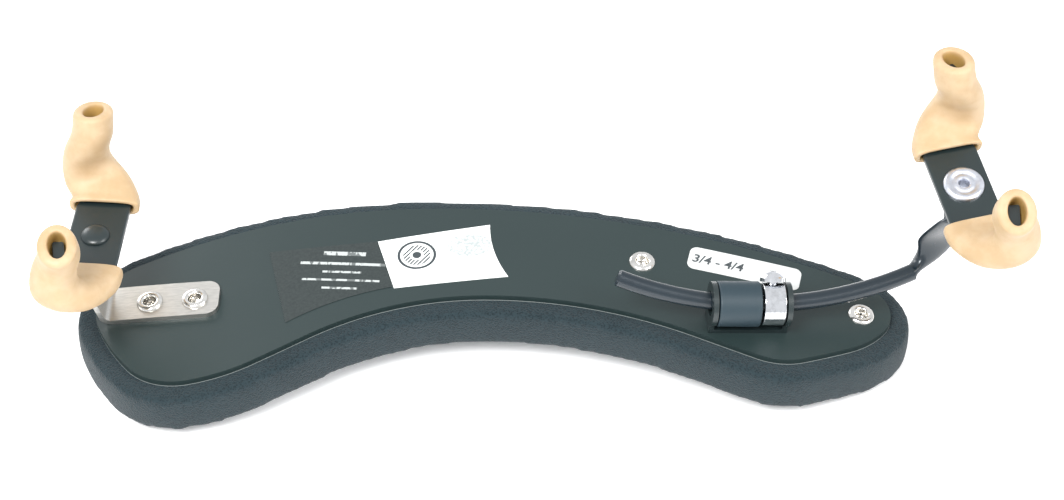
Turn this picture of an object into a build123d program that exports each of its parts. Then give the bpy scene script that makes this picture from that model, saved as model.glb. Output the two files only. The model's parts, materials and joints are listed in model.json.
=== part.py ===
"""Violin shoulder rest: an arched plate on a foam pad, with two swivelling forks.

The plate lies in XY with its arch along X.  +Z is up towards the violin, +Y is the
player's far side, and the foam's two ends stand on Z = 0.  All sizes are millimetres.
"""
from build123d import *
from math import asin, cos, degrees, radians, sin, sqrt, tan
import os

# ---------------------------------------------------------------- driving dimensions
# Datum: from the origin that the plate is drawn from to the middle of the whole part
datum_x = -0.6
datum_y = 11.28

# Plate, tape and foam
plate_thickness = 1.5
tape_thickness = 0.2
foam_thickness = 10.4
foam_margin = 4.5             # foam left showing all round the plate
arch_radius = 700.0           # of the plate's top face
crown_x = -28.0               # highest point of the far edge
crown_y = 14.9
crown_left_radius = 158.0
crown_right_radius = 290.0
crown_left_reach = 60.0       # how far the two far arcs run from the crown
crown_right_reach = 98.0
waist_x = -11.5               # deepest point of the near edge
waist_y = -14.0
waist_left_radius = 80.0
waist_right_radius = 125.0
waist_left_reach = 40.0
waist_right_reach = 50.0
left_lobe = [(-94.7, 0.2), (-102.0, -18.3), (-93.8, -31.7), (-79.2, -37.3), (-64.7, -32.4)]
right_lobe = [(52.0, -30.1), (63.0, -30.4), (74.2, -26.1), (82.9, -19.4), (79.7, -6.1)]
left_extreme = -103.124       # furthest reach of each lobe along X
right_extreme = 84.751

# Labels
label_thickness = 0.12
maker_label_corners = [(-62.8, 1.9), (-37.1, 4.0), (-32.7, -10.9), (-57.5, -21.2)]
maker_label_sag = 1.3
white_label_corners = [(-36.9, 4.0), (-10.1, 9.1), (-5.6, -8.0), (-32.5, -11.4)]
white_label_sag = 1.2
size_label_x = 50.6
size_label_y = -2.9
size_label_yaw = -12.5
size_label_length = 27.0
size_label_width = 7.2
size_label_corner = 1.8

# Hollow rivets that close over the plate
eyelet_bore = 3.0
eyelet_wall = 0.45
eyelet_rim = 6.3
eyelet_rim_height = 0.8
eyelet_foot = 5.4
eyelet_foot_height = 0.5
eyelet_fit = 0.05             # radial gap between a rivet's barrel and its hole
foot_gap = 0.02               # from a rivet's foot to the hollow face above it
foot_pocket_gap = 0.6         # room round a rivet's foot in the tape and the foam
hole_lead = 0.5               # run of each hole's cutter past the faces it cuts
plate_eyelet_places = [(26.2, -2.3), (77.6, -15.3)]
bracket_eyelet_places = [(-90.0, -12.9), (-79.3, -13.0)]

# Fixed bracket that carries the left fork
bracket_thickness = 1.2
bracket_width = 10.5
bracket_bend = 1.6            # inner radius of each bend
bracket_y = -12.7
bracket_right_end = -73.6
bracket_corner = 3.0
bracket_heel = -100.4         # where the upright leaves the plate
bracket_lean = 16.0           # outward lean of the upright, degrees

# Forks
left_pivot = (-100.3, -12.7, 36.2)     # centre of the fork's underside
left_yaw = 4.0                         # toe-out of the near foot, degrees
left_tilt = 0.0
right_pivot = (98.5, -7.0, 47.2)
right_yaw = 13.5
right_tilt = 10.0                      # towards the near side, degrees
strip_width = 12.7
strip_thickness = 1.7
strip_straight = 9.6                   # flat half length each side of the pivot
strip_edge = 0.5                       # rounding of the strip's long edges
sleeve_start = 10.2                    # mouth of each rubber tube, from the pivot
tip_recess = 2.6                       # depth of the finger's end inside the tube
# Stations along an arm.  Outward, along the fork, up; climb and outward heading in
# degrees; width and thickness of the steel; width and thickness of the rubber.
arm_stations = [
    (0.0, 9.6, 0.0, 0.0, 0.0, 12.7, 1.7, 16.6, 5.0),
    (0.2, 13.6, -0.2, 20.0, 4.0, 12.4, 1.8, 15.8, 6.6),
    (2.8, 17.8, 1.2, 42.0, 16.0, 10.0, 2.4, 15.0, 8.6),
    (5.0, 19.8, 4.8, 60.0, 26.0, 6.6, 3.2, 12.2, 10.8),
    (4.6, 19.6, 9.8, 70.0, 8.0, 4.6, 4.2, 10.6, 11.0),
    (2.8, 19.8, 14.6, 74.0, -10.0, 3.4, 5.0, 9.6, 10.4),
    (2.3, 21.4, 19.2, 74.0, -14.0, 3.4, 5.0, 9.0, 11.0),
]

# Pivots
pivot_shank = 4.0
pivot_fit = 0.05              # radial gap of a fork on its rivet, and its end play
washer_diameter = 9.0
washer_thickness = 0.5
left_head_diameter = 6.6
left_head_height = 1.3
right_head_diameter = 9.5
right_head_height = 1.1
right_pivot_bore = 2.4
right_head_groove = 0.35
pivot_foot_diameter = 6.2
pivot_foot_height = 0.8

# Clamp
clamp_x = 51.5
clamp_y = -20.4
clamp_yaw = 4.2
clamp_height = 6.6            # rod's centre above the plate
clamp_shift = -1.6            # from the bend's middle to the clamp's middle
ear_gap = 16.2                # between the ears' inner faces
ear_thickness = 1.2
ear_width = 10.4
ear_hole = 5.8
saddle_base = 1.0
saddle_width = 6.2
barrel_diameter = 10.6
barrel_length = 9.9
barrel_edge = 0.4
collar_diameter = 10.0
collar_length = 5.1
collar_edge = 0.25
clamp_end_gap = 0.3           # from an ear to the barrel or the collar
screw_thread = 2.6
screw_head = 6.0
screw_head_height = 2.5
screw_rim_height = 0.875
screw_head_gap = 0.3          # from the collar to the head
screw_angle = 48.0            # round the clamp's axis, up from the far side, degrees
screw_fit = 0.05
screw_socket = 1.8            # across the head's hexagon socket
screw_socket_depth = 0.9
saddle_rivet_shank = 2.2
saddle_rivet_head = 3.6
saddle_rivet_sink = 0.6
saddle_rivet_spacing = 8.0

# Height rod
rod_diameter = 4.0
rod_fit = 0.05                # radial gap between the rod and its bores
rod_bend = 93.0               # radius of the bent rod's centre line
rod_roll = 42.0               # of the bend's plane about the clamp, degrees
rod_left_length = 33.5        # along the bend from the clamp's centre
rod_right_length = 38.0
rod_chamfer = 0.5
paddle_width = 10.2
paddle_thickness = 2.2
eye_diameter = 10.6
neck_end = 2.6                # where the neck runs out into the eye, from its centre
# Stations of the flattened neck from the rod's end to the eye, from the right pivot.
# Place; heading; share of the full width and of the full flattening.
neck_stations = [
    ((-7.8, -3.7, -19.2), (0.78, 0.20, 0.60), 0.25),
    ((-6.0, -3.0, -17.0), (0.50, 0.12, 0.86), 0.75),
    ((-4.8, -2.8, -13.6), (0.22, -0.05, 0.97), 1.00),
    ((-3.4, -3.8, -8.6), (0.26, -0.22, 0.94), 1.00),
    ((-1.8, -5.3, -4.6), (0.34, 0.00, 0.94), 1.00),
    ((-0.6, -4.6, -2.4), (0.14, 0.76, 0.63), 1.00),
]

# ---------------------------------------------------------------- the plate's arch
stack = plate_thickness + tape_thickness + foam_thickness
foam_left = left_extreme - foam_margin
foam_right = right_extreme + foam_margin
arch_x = (foam_left + foam_right) / 2
half_span = (foam_right - foam_left) / 2
arch_z = -sqrt((arch_radius - stack) ** 2 - half_span ** 2)
model_height = 100.0
model_length = 400.0


def on_arch(x, y, lift=0.0, yaw=0.0):
    """Plane square to the plate's top face at x, y, raised by lift and turned by yaw."""
    slope, turn = asin((x - arch_x) / arch_radius), radians(yaw)
    origin = (x + lift * sin(slope), y, arch_z + (arch_radius + lift) * cos(slope))
    along = (cos(turn) * cos(slope), sin(turn), -cos(turn) * sin(slope))
    return Plane(origin=origin, x_dir=along, z_dir=(sin(slope), 0, cos(slope)))


def arc_end(apex_x, apex_y, radius, reach, grow):
    """End of an arc that starts level at its apex and curls to -Y, grown outwards."""
    turn = asin(reach / radius)
    return (apex_x + (radius + grow) * sin(turn), apex_y + grow - (radius + grow) * (1 - cos(turn)))


def grown_lobe(start, heading, joints, margin):
    """Joints of a chain of tangent arcs, moved out square to the chain at each joint."""
    moved = []
    for joint in joints:
        chord = (Vector(*joint) - Vector(*start)).normalized()
        heading = chord * (2 * heading.dot(chord)) - heading
        moved.append((joint[0] + margin * heading.Y, joint[1] - margin * heading.X))
        start = joint
    return moved


def plate_outline(margin=0.0):
    """Kidney outline: four long arcs joined by two lobes of tangent arcs, grown by a margin."""
    far_left = arc_end(crown_x, crown_y, crown_left_radius, -crown_left_reach, 0)
    far_right = arc_end(crown_x, crown_y, crown_right_radius, crown_right_reach, margin)
    near_left = arc_end(waist_x, waist_y, waist_left_radius, -waist_left_reach, -margin)
    near_right = arc_end(waist_x, waist_y, waist_right_radius, waist_right_reach, 0)
    far_turn = asin(crown_left_reach / crown_left_radius)
    near_turn = asin(waist_right_reach / waist_right_radius)
    left_heading = Vector(-cos(far_turn), -sin(far_turn))
    right_heading = Vector(cos(near_turn), -sin(near_turn))
    left_joints = grown_lobe(far_left, left_heading, left_lobe, margin)
    right_joints = grown_lobe(near_right, right_heading, right_lobe, margin)
    far_start = arc_end(crown_x, crown_y, crown_left_radius, -crown_left_reach, margin)
    near_start = arc_end(waist_x, waist_y, waist_right_radius, waist_right_reach, -margin)
    with BuildSketch() as outline:
        with BuildLine():
            TangentArc((crown_x, crown_y + margin), far_start, tangent=(-1, 0))
            TangentArc((crown_x, crown_y + margin), far_right, tangent=(1, 0))
            TangentArc((waist_x, waist_y - margin), near_left, tangent=(-1, 0))
            TangentArc((waist_x, waist_y - margin), near_start, tangent=(1, 0))
            for heading, chain in ((left_heading, [far_start] + left_joints + [near_left]),
                                   (right_heading, [near_start] + right_joints + [far_right])):
                for begin, end in zip(chain, chain[1:]):
                    bend = TangentArc(begin, end, tangent=heading)
                    heading = bend % 1
        make_face()
    return outline.sketch


def arched_sheet(outline, top_radius, thickness):
    """Sheet of one thickness, bent to the arch, cut to an outline drawn in XY."""
    with BuildPart() as sheet:
        with BuildSketch():
            add(outline)
        extrude(amount=model_height, both=True)
        with BuildSketch(Plane.XZ):
            with Locations((arch_x, arch_z)):
                Circle(top_radius)
                Circle(top_radius - thickness, mode=Mode.SUBTRACT)
        extrude(amount=model_length / 2, both=True, mode=Mode.INTERSECT)
    return sheet.part


def on_arch_each(places, lift=0.0):
    """One plane square to the plate for each place."""
    return [on_arch(x, y, lift) for x, y in places]


eyelet_hole = eyelet_bore / 2 + eyelet_wall + eyelet_fit
saddle_rivet_places = []
for step in (-1, 1):
    reach = clamp_shift + step * saddle_rivet_spacing / 2
    turn = radians(clamp_yaw)
    saddle_rivet_places.append((clamp_x + reach * cos(turn), clamp_y + reach * sin(turn)))
eyelet_places = plate_eyelet_places + bracket_eyelet_places
pocket_radius = eyelet_foot / 2 + foot_pocket_gap

# ---------------------------------------------------------------- plate, tape and foam
with BuildPart() as base_plate:
    add(arched_sheet(plate_outline(), arch_radius, plate_thickness))
    with BuildSketch(*on_arch_each(eyelet_places, hole_lead)):
        Circle(eyelet_hole)
    with BuildSketch(*on_arch_each(saddle_rivet_places, hole_lead)):
        Circle(saddle_rivet_shank / 2 + eyelet_fit)
    extrude(amount=-plate_thickness - 2 * hole_lead, mode=Mode.SUBTRACT)

with BuildPart() as mounting_tape:
    add(arched_sheet(plate_outline(), arch_radius - plate_thickness, tape_thickness))
    with BuildSketch(*on_arch_each(eyelet_places + saddle_rivet_places)):
        Circle(pocket_radius)
    extrude(amount=-plate_thickness - tape_thickness - hole_lead, mode=Mode.SUBTRACT)

foam_top_radius = arch_radius - plate_thickness - tape_thickness
pocket_depth = plate_thickness + tape_thickness + eyelet_foot_height + foot_pocket_gap
with BuildPart() as foam_pad:
    add(arched_sheet(plate_outline(foam_margin), foam_top_radius, foam_thickness))
    with BuildSketch(*on_arch_each(eyelet_places + saddle_rivet_places)):
        Circle(pocket_radius)
    extrude(amount=-pocket_depth, mode=Mode.SUBTRACT)

# ---------------------------------------------------------------- labels
def label_outline(corners, sag, bowed_side):
    """Four-cornered label with one side drawn in as a hollow arc."""
    with BuildSketch() as outline:
        with BuildLine():
            for i, corner in enumerate(corners):
                following = corners[(i + 1) % 4]
                if i == bowed_side:
                    SagittaArc(corner, following, -sag)
                else:
                    Line(corner, following)
        make_face()
    return outline.sketch


def size_label_outline():
    """Rounded label beside the clamp."""
    with BuildSketch() as outline:
        with Locations(Location((size_label_x, size_label_y), size_label_yaw)):
            RectangleRounded(size_label_length, size_label_width, size_label_corner)
    return outline.sketch


label_radius = arch_radius + label_thickness
with BuildPart() as maker_label:
    add(arched_sheet(label_outline(maker_label_corners, maker_label_sag, 2), label_radius, label_thickness))
with BuildPart() as white_label:
    add(arched_sheet(label_outline(white_label_corners, white_label_sag, 1), label_radius, label_thickness))
with BuildPart() as size_label:
    add(arched_sheet(size_label_outline(), label_radius, label_thickness))


# ---------------------------------------------------------------- hollow rivets
def eyelet(plane, grip):
    """Hollow rivet with a rolled rim on the plane and a flared foot below its grip."""
    bore = eyelet_bore / 2
    barrel = bore + eyelet_wall
    rim = eyelet_rim / 2
    with BuildPart() as rivet:
        with BuildSketch(Plane.XZ) as section:
            with BuildLine():
                Polyline((bore, -grip - eyelet_foot_height), (bore, eyelet_rim_height * 0.5))
                RadiusArc((bore, eyelet_rim_height * 0.5), (barrel, eyelet_rim_height), eyelet_wall * 1.2)
                Line((barrel, eyelet_rim_height), (rim - eyelet_wall, eyelet_rim_height * 0.8))
                RadiusArc((rim - eyelet_wall, eyelet_rim_height * 0.8), (rim, 0), eyelet_rim_height)
                Polyline((rim, 0), (barrel, 0), (barrel, -grip), (eyelet_foot / 2, -grip),
                         (eyelet_foot / 2, -grip - eyelet_foot_height),
                         (bore, -grip - eyelet_foot_height))
            make_face()
        revolve(axis=Axis.Z)
    return plane.location * rivet.part


plate_grip = plate_thickness + foot_gap
plate_eyelets = Part() + [eyelet(on_arch(x, y), plate_grip) for x, y in plate_eyelet_places]
bracket_eyelets = Part() + [eyelet(on_arch(x, y, bracket_thickness), plate_grip + bracket_thickness)
                            for x, y in bracket_eyelet_places]


# ---------------------------------------------------------------- left bracket
def arch_angle(x):
    """Direction of a point of the arch from the arch's centre, in degrees from +X."""
    return 90 - degrees(asin((x - arch_x) / arch_radius))


flange_top = left_pivot[2] - washer_thickness - pivot_fit
flange_mid = flange_top - bracket_thickness / 2
base_mid_radius = arch_radius + bracket_thickness / 2
start_angle = arch_angle(bracket_right_end)
heel_angle = arch_angle(bracket_heel)
heel_z = arch_z + base_mid_radius * sin(radians(heel_angle))
brow_x = bracket_heel - (flange_mid - heel_z) * tan(radians(bracket_lean))
flange_end = left_pivot[0] + bracket_width / 2

with BuildPart() as left_bracket:
    with BuildSketch(Plane.XZ.offset(-bracket_y)):
        with BuildLine():
            foot_arc = CenterArc((arch_x, arch_z), base_mid_radius, start_angle, heel_angle - start_angle)
            Polyline(foot_arc @ 1, (brow_x, flange_mid), (flange_end, flange_mid))
            corners = vertices().sort_by(Axis.X)[:2]
            fillet(corners, radius=bracket_bend + bracket_thickness / 2)
        trace(line_width=bracket_thickness)
    extrude(amount=bracket_width / 2, both=True)
    upright_edges = left_bracket.edges().filter_by(lambda e: e.length < 1.01 * bracket_thickness)
    fillet(upright_edges.sort_by(Axis.X)[-2:], bracket_corner)
    eye_edges = upright_edges.sort_by(Axis.X)[:-2].sort_by(Axis.Z)[-2:]
    fillet(eye_edges, bracket_width / 2 - 0.05)
    with BuildSketch(*on_arch_each(bracket_eyelet_places, bracket_thickness + hole_lead)):
        Circle(eyelet_hole)
    extrude(amount=-bracket_thickness - 2 * hole_lead, mode=Mode.SUBTRACT)
    with BuildSketch(Plane.XY.offset(flange_top)):
        with Locations(left_pivot[:2]):
            Circle(pivot_shank / 2)
    extrude(amount=-bracket_thickness, mode=Mode.SUBTRACT)


# ---------------------------------------------------------------- forks and rubber tubes
def station_plane(station):
    """Plane across an arm at a station: x across the strip, z along the arm."""
    out, along, up, climb, heading = station[:5]
    pitch, turn = radians(climb), radians(heading)
    forward = (cos(pitch) * sin(turn), cos(pitch) * cos(turn), sin(pitch))
    return Plane(origin=(out, along, up + strip_thickness / 2), x_dir=(cos(turn), -sin(turn), 0), z_dir=forward)


def arm_core():
    """Steel arm from the strip's flat to the tube's tip, as one tapering bar."""
    with BuildPart() as core:
        for station in arm_stations:
            with BuildSketch(station_plane(station)):
                RectangleRounded(station[5], station[6], strip_edge)
        loft()
    return core.part


def arm_sleeve():
    """Outer shape of the rubber tube: a flat mouth that closes to an oval tip."""
    mouth = (0.0, sleeve_start) + arm_stations[0][2:]
    with BuildPart() as sleeve:
        for station in [mouth] + arm_stations[1:]:
            width, thickness = station[7:]
            with BuildSketch(station_plane(station)):
                RectangleRounded(width, thickness, 0.46 * min(width, thickness))
        loft()
    return sleeve.part


core = arm_core()
finger_end = station_plane(arm_stations[-1]).offset(-tip_recess)
finger = split(core, bisect_by=finger_end, keep=Keep.BOTTOM)

with BuildPart() as fork_blank:
    Box(strip_width, 2 * strip_straight, strip_thickness, align=(Align.CENTER, Align.CENTER, Align.MIN))
    fillet(fork_blank.edges().filter_by(Axis.Y), strip_edge)
    add(finger)
    add(mirror(finger, about=Plane.XZ))
    Cylinder(pivot_shank / 2 + pivot_fit, 4 * strip_thickness, mode=Mode.SUBTRACT)

far_tube = arm_sleeve() - core
near_tube = mirror(far_tube, about=Plane.XZ)

left_place = Location(left_pivot) * Rot(left_tilt, 0, 0) * Rot(0, 0, -left_yaw)
right_place = Location(right_pivot) * Rot(right_tilt, 0, 0) * Rot(0, 0, right_yaw)


def placed(shape, place):
    """Shape drawn for the right fork, put at the left or the right pivot."""
    if place is left_place:
        shape = mirror(shape, about=Plane.YZ)
    return place * shape


# ---------------------------------------------------------------- pivots
def pivot_rivet(head_radius, head_height, grip, bore=0.0):
    """Pivot rivet: head above the fork, shank through fork and washer, closed below."""
    seat = strip_thickness + pivot_fit
    low = -pivot_fit - washer_thickness - grip
    with BuildPart() as rivet:
        with BuildSketch(Plane.XZ):
            with BuildLine():
                rim = head_height * 0.45
                crown = Polyline((0, seat + head_height), (0, low - pivot_foot_height),
                                 (pivot_foot_diameter / 2, low - pivot_foot_height),
                                 (pivot_foot_diameter / 2, low), (pivot_shank / 2, low),
                                 (pivot_shank / 2, seat), (head_radius, seat), (head_radius, seat + rim))
                TangentArc(crown @ 0, crown @ 1, tangent=(1, 0))
            make_face()
        revolve(axis=Axis.Z)
        if bore:
            Cylinder(bore / 2, 10 * head_height, mode=Mode.SUBTRACT)
            with BuildSketch(Plane.XZ):
                with Locations((head_radius * 0.55, seat + head_height)):
                    Circle(right_head_groove)
            revolve(axis=Axis.Z, mode=Mode.SUBTRACT)
    return rivet.part


with BuildPart() as washer_blank:
    with BuildSketch(Plane.XY.offset(-pivot_fit - washer_thickness)):
        Circle(washer_diameter / 2)
        Circle(pivot_shank / 2, mode=Mode.SUBTRACT)
    extrude(amount=washer_thickness)

# ---------------------------------------------------------------- clamp
clamp_plane = on_arch(clamp_x, clamp_y, clamp_height, clamp_yaw)
clamp_seat = on_arch(clamp_x, clamp_y, 0, clamp_yaw)
bend_normal = clamp_plane.z_dir * cos(radians(rod_roll)) - clamp_plane.y_dir * sin(radians(rod_roll))
bend_plane = Plane(origin=clamp_plane.origin, x_dir=clamp_plane.x_dir, z_dir=bend_normal)
ear_face = ear_gap / 2


def rod_arc(start, end):
    """Stretch of the rod's bent centre line, by its lengths from the clamp's centre."""
    with BuildLine(bend_plane) as line:
        CenterArc((0, rod_bend), rod_bend, -90 + degrees(start / rod_bend), degrees((end - start) / rod_bend))
    return line.line


def rod_bore():
    """Bent hole that the rod slides in, a running fit larger than the rod."""
    path = rod_arc(-2 * ear_face, 2 * ear_face)
    with BuildPart() as bore:
        with BuildSketch(Plane(origin=path @ 0, z_dir=path % 0)):
            Circle(rod_diameter / 2 + rod_fit)
        sweep(path=path)
    return bore.part


def along_clamp(x):
    """Plane across the clamp's axis, x from the clamp's centre, facing along the axis."""
    return Plane(origin=clamp_plane.from_local_coords((x + clamp_shift, 0, 0)), x_dir=clamp_plane.y_dir,
                 z_dir=clamp_plane.x_dir)


with BuildPart() as clamp_saddle:
    with BuildSketch(clamp_seat):
        with Locations((clamp_shift, 0)):
            Rectangle(ear_gap + 2 * ear_thickness, saddle_width)
    extrude(amount=saddle_base)
    for x in (-ear_face - ear_thickness, ear_face):
        with BuildSketch(along_clamp(x)):
            Circle(ear_width / 2)
            with Locations((0, -clamp_height / 2)):
                Rectangle(saddle_width, clamp_height)
            Circle(ear_hole / 2, mode=Mode.SUBTRACT)
        extrude(amount=ear_thickness)
    with BuildSketch(*[on_arch(x, y, saddle_base) for x, y in saddle_rivet_places]):
        Circle(saddle_rivet_shank / 2)
    extrude(amount=-2 * saddle_base, mode=Mode.SUBTRACT)
    with BuildSketch(*[on_arch(x, y, saddle_base) for x, y in saddle_rivet_places]):
        Circle(saddle_rivet_head / 2)
    extrude(amount=-saddle_rivet_sink, taper=45, mode=Mode.SUBTRACT)


def saddle_rivet(x, y):
    """Sunk rivet of the saddle, closed under the plate."""
    head, shank, foot = saddle_rivet_head / 2, saddle_rivet_shank / 2, eyelet_foot / 2 - 0.6
    low = -plate_grip
    with BuildPart() as rivet:
        with BuildSketch(Plane.XZ):
            with BuildLine():
                Polyline((0, saddle_base), (head, saddle_base), (shank, saddle_base - saddle_rivet_sink),
                         (shank, low), (foot, low), (foot, low - eyelet_foot_height),
                         (0, low - eyelet_foot_height), close=True)
            make_face()
        revolve(axis=Axis.Z)
    return on_arch(x, y).location * rivet.part


saddle_rivets = Part() + [saddle_rivet(x, y) for x, y in saddle_rivet_places]

barrel_left = -ear_face + clamp_end_gap
collar_right = ear_face - clamp_end_gap
collar_left = collar_right - collar_length

with BuildPart() as clamp_barrel:
    with BuildSketch(along_clamp(barrel_left)):
        Circle(barrel_diameter / 2)
    extrude(amount=barrel_length)
    fillet(clamp_barrel.edges().filter_by(GeomType.CIRCLE), barrel_edge)
    add(rod_bore(), mode=Mode.SUBTRACT)

collar_x = (collar_left + collar_right) / 2 + clamp_shift
collar_middle = clamp_plane.from_local_coords((collar_x, 0, 0))
screw_out = clamp_plane.y_dir * cos(radians(screw_angle)) + clamp_plane.z_dir * sin(radians(screw_angle))
screw_plane = Plane(origin=collar_middle, x_dir=clamp_plane.x_dir, z_dir=screw_out)

with BuildPart() as clamp_collar:
    with BuildSketch(along_clamp(collar_left)):
        Circle(collar_diameter / 2)
    extrude(amount=collar_length)
    fillet(clamp_collar.edges().filter_by(GeomType.CIRCLE), collar_edge)
    add(rod_bore(), mode=Mode.SUBTRACT)
    with BuildSketch(screw_plane):
        Circle(screw_thread / 2 + screw_fit)
    extrude(amount=collar_diameter, mode=Mode.SUBTRACT)

rod_rise = collar_x ** 2 / (2 * rod_bend)
screw_tip = rod_diameter / 2 + 2 * rod_fit + rod_rise
head_seat = collar_diameter / 2 + screw_head_gap
with BuildPart() as screw_blank:
    with BuildSketch(Plane.XZ):
        with BuildLine():
            profile = Polyline((0, head_seat + screw_head_height), (0, screw_tip), (screw_thread / 2, screw_tip),
                               (screw_thread / 2, head_seat), (screw_head / 2, head_seat),
                               (screw_head / 2, head_seat + screw_rim_height))
            TangentArc(profile @ 0, profile @ 1, tangent=(1, 0))
        make_face()
    revolve(axis=Axis.Z)
    with BuildSketch(Plane.XY.offset(head_seat + screw_head_height)):
        RegularPolygon(screw_socket / 2, 6, major_radius=False)
    extrude(amount=-screw_socket_depth, mode=Mode.SUBTRACT)
clamp_screw = screw_plane.location * screw_blank.part

# ---------------------------------------------------------------- height rod
rod_path = rod_arc(-rod_left_length, rod_right_length)
eye_top = -washer_thickness - pivot_fit


def neck_section(place, heading, share):
    """Plane and half sizes of the neck at one station, drawn from the right pivot."""
    width = rod_diameter + (paddle_width - rod_diameter) * share
    thickness = rod_diameter + (paddle_thickness - rod_diameter) * share
    forward = Vector(*heading).normalized()
    across = Vector(1, 0, 0) - forward * forward.X
    return Plane(origin=place, x_dir=across, z_dir=forward), width / 2, thickness / 2


def neck_stretch(sections, finish=None):
    """Loft through neck sections, ending in an extra flat section if one is given."""
    with BuildPart() as stretch:
        for station in sections:
            plane, half_width, half_thickness = neck_section(*station)
            with BuildSketch(plane):
                Ellipse(half_width, half_thickness)
        if finish:
            with BuildSketch(finish):
                Ellipse(paddle_width / 2, paddle_thickness / 2)
        loft()
    return stretch.part


rod_end = right_place.inverse() * Plane(origin=rod_path @ 1, z_dir=rod_path % 1).location
neck_start = (tuple(rod_end.position), tuple(Plane(rod_end).z_dir), 0.0)
eye_entry = Plane(origin=(0, -neck_end, eye_top - paddle_thickness / 2), x_dir=(1, 0, 0), z_dir=(0, 1, 0))

with BuildPart() as neck:
    add(neck_stretch([neck_start] + neck_stations[:-1]))
    add(neck_stretch(neck_stations[-2:], eye_entry))
    with BuildSketch(Plane.XY.offset(eye_top)):
        Circle(eye_diameter / 2)
    extrude(amount=-paddle_thickness)
    with BuildSketch(Plane.XY.offset(eye_top)):
        Circle(pivot_shank / 2)
    extrude(amount=-2 * paddle_thickness, mode=Mode.SUBTRACT)

with BuildPart() as height_rod:
    with BuildSketch(Plane(origin=rod_path @ 0, z_dir=rod_path % 0)):
        Circle(rod_diameter / 2)
    sweep(path=rod_path)
    chamfer(height_rod.edges().sort_by(Axis.X)[0], rod_chamfer)
    add(right_place * neck.part)

# ---------------------------------------------------------------- write the pieces
left_rivet = pivot_rivet(left_head_diameter / 2, left_head_height, bracket_thickness)
right_rivet = pivot_rivet(right_head_diameter / 2, right_head_height, paddle_thickness, right_pivot_bore)
pieces = {
    "base_plate": base_plate.part,
    "mounting_tape": mounting_tape.part,
    "foam_pad": foam_pad.part,
    "maker_label": maker_label.part,
    "white_label": white_label.part,
    "size_label": size_label.part,
    "plate_eyelets": plate_eyelets,
    "left_bracket": left_bracket.part,
    "bracket_eyelets": bracket_eyelets,
    "left_washer": placed(washer_blank.part, left_place),
    "left_pivot_rivet": placed(left_rivet, left_place),
    "left_fork": placed(fork_blank.part, left_place),
    "left_far_tube": placed(far_tube, left_place),
    "left_near_tube": placed(near_tube, left_place),
    "clamp_saddle": clamp_saddle.part,
    "saddle_rivets": saddle_rivets,
    "clamp_barrel": clamp_barrel.part,
    "clamp_collar": clamp_collar.part,
    "clamp_screw": clamp_screw,
    "height_rod": height_rod.part,
    "right_washer": placed(washer_blank.part, right_place),
    "right_pivot_rivet": placed(right_rivet, right_place),
    "right_fork": placed(fork_blank.part, right_place),
    "right_far_tube": placed(far_tube, right_place),
    "right_near_tube": placed(near_tube, right_place),
}

os.makedirs("parts", exist_ok=True)
for name, shape in pieces.items():
    piece = Pos(datum_x, datum_y, 0) * shape
    piece.label = name
    export_step(piece, f"parts/{name}.step")
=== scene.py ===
"""Looks of a violin shoulder rest: finishes, foam pad, rubber tubes, rivets and printed labels.

Lengths in the dataclasses are millimetres, as a maker gives them; MM turns them into metres.
"""

import json
import logging
from dataclasses import dataclass, field
from enum import Enum
from math import asin, cos, pi, radians, sin, sqrt
from typing import Sequence

import bmesh
import bpy
from mathutils import Matrix, Vector

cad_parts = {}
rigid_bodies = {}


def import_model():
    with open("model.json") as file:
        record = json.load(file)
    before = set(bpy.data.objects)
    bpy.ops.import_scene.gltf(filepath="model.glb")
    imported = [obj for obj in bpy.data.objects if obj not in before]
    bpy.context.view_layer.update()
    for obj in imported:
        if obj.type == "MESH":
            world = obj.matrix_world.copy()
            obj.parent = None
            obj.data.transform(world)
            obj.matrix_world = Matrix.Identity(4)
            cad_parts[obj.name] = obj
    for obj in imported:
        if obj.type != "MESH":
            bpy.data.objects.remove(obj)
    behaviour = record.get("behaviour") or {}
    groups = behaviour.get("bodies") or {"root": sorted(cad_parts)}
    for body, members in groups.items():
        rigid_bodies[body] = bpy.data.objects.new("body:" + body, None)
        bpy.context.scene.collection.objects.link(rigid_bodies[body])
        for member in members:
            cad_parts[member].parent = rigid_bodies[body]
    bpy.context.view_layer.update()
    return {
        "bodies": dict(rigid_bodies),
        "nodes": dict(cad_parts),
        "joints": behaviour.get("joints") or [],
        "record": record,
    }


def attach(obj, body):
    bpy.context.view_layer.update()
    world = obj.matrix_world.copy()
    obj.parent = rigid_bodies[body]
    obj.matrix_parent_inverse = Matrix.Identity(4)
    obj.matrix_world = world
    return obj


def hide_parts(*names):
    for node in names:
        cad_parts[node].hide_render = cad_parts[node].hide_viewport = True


MM = 0.001
PER_METRE = 1000.0
HALF_STRIP = 0.85
log = logging.getLogger("shoulder_rest")
Colour = tuple[float, float, float]
Triple = tuple[float, float, float]


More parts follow.
